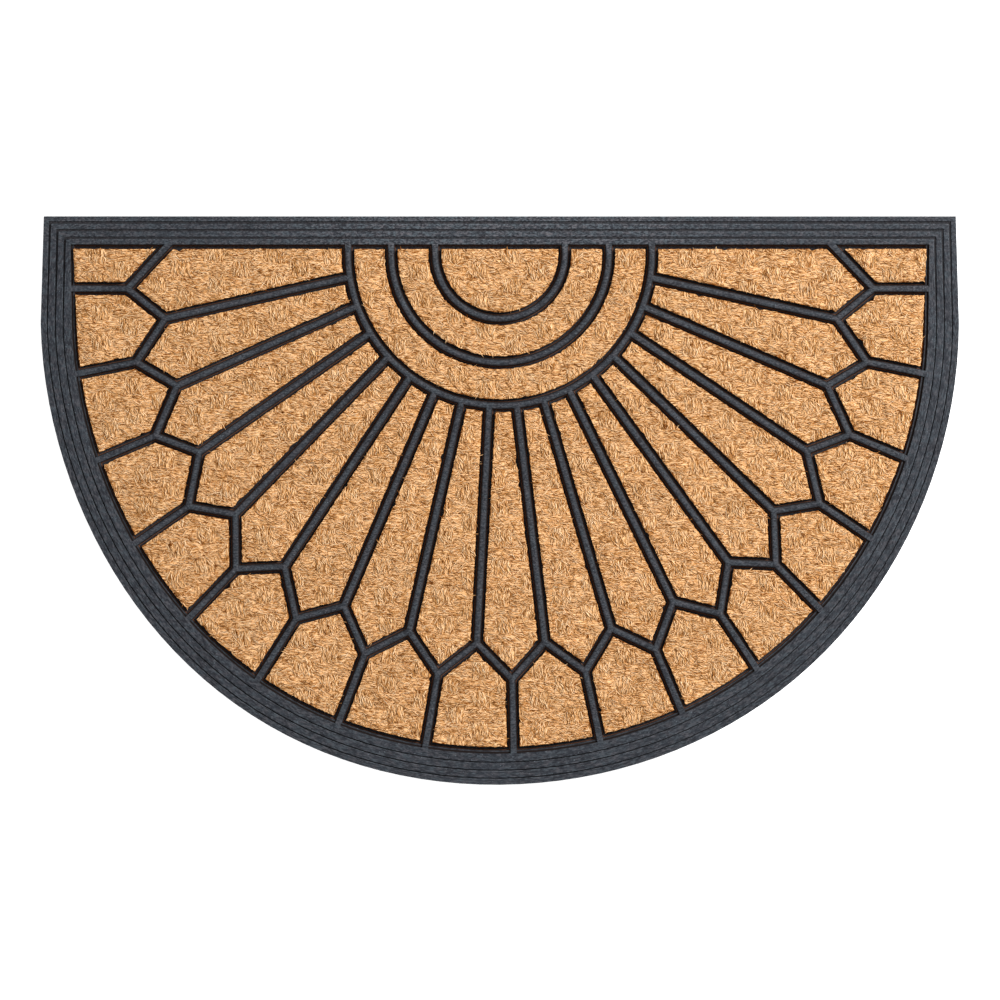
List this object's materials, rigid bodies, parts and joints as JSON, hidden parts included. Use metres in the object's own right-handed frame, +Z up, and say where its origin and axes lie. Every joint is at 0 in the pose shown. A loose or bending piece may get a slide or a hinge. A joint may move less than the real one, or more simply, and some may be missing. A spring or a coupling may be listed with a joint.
{
  "type": "doormat",
  "caption": "Half-round doormat: a moulded rubber tray with a grooved border and a fanlight of raised ribs, filled with flat inlays of woven coir that scrape shoes clean.",
  "frame": {"origin": "on the floor under the middle of the mat's bounding box", "axes": "+X along the straight edge, +Y towards the straight edge, +Z up from the floor through the mat's thickness"},
  "size_m": [0.75, 0.4644, 0.0086],
  "materials": {
    "rubber": "matte charcoal rubber, mottled, with fine pale dust",
    "coir": "plain-woven golden brown coir, coarse and fuzzy, with cut edges"
  },
  "bodies": {
    "root": {"rubber_tray": "rubber", "coir_sun_disc": "coir", "coir_sun_band_1": "coir", "coir_sun_band_2": "coir", "coir_petal_01": "coir", "coir_petal_02": "coir", "coir_petal_03": "coir", "coir_petal_04": "coir", "coir_petal_05": "coir", "coir_petal_06": "coir", "coir_petal_07": "coir", "coir_petal_08": "coir", "coir_petal_09": "coir", "coir_petal_10": "coir", "coir_petal_11": "coir", "coir_petal_12": "coir", "coir_petal_13": "coir", "coir_petal_14": "coir", "coir_petal_15": "coir", "coir_petal_16": "coir", "coir_petal_17": "coir", "coir_rim_01": "coir", "coir_rim_02": "coir", "coir_rim_03": "coir", "coir_rim_04": "coir", "coir_rim_05": "coir", "coir_rim_06": "coir", "coir_rim_07": "coir", "coir_rim_08": "coir", "coir_rim_09": "coir", "coir_rim_10": "coir", "coir_rim_11": "coir", "coir_rim_12": "coir", "coir_rim_13": "coir", "coir_rim_14": "coir", "coir_rim_15": "coir", "coir_rim_16": "coir", "coir_rim_17": "coir", "coir_rim_18": "coir"}
  },
  "joints": []
}
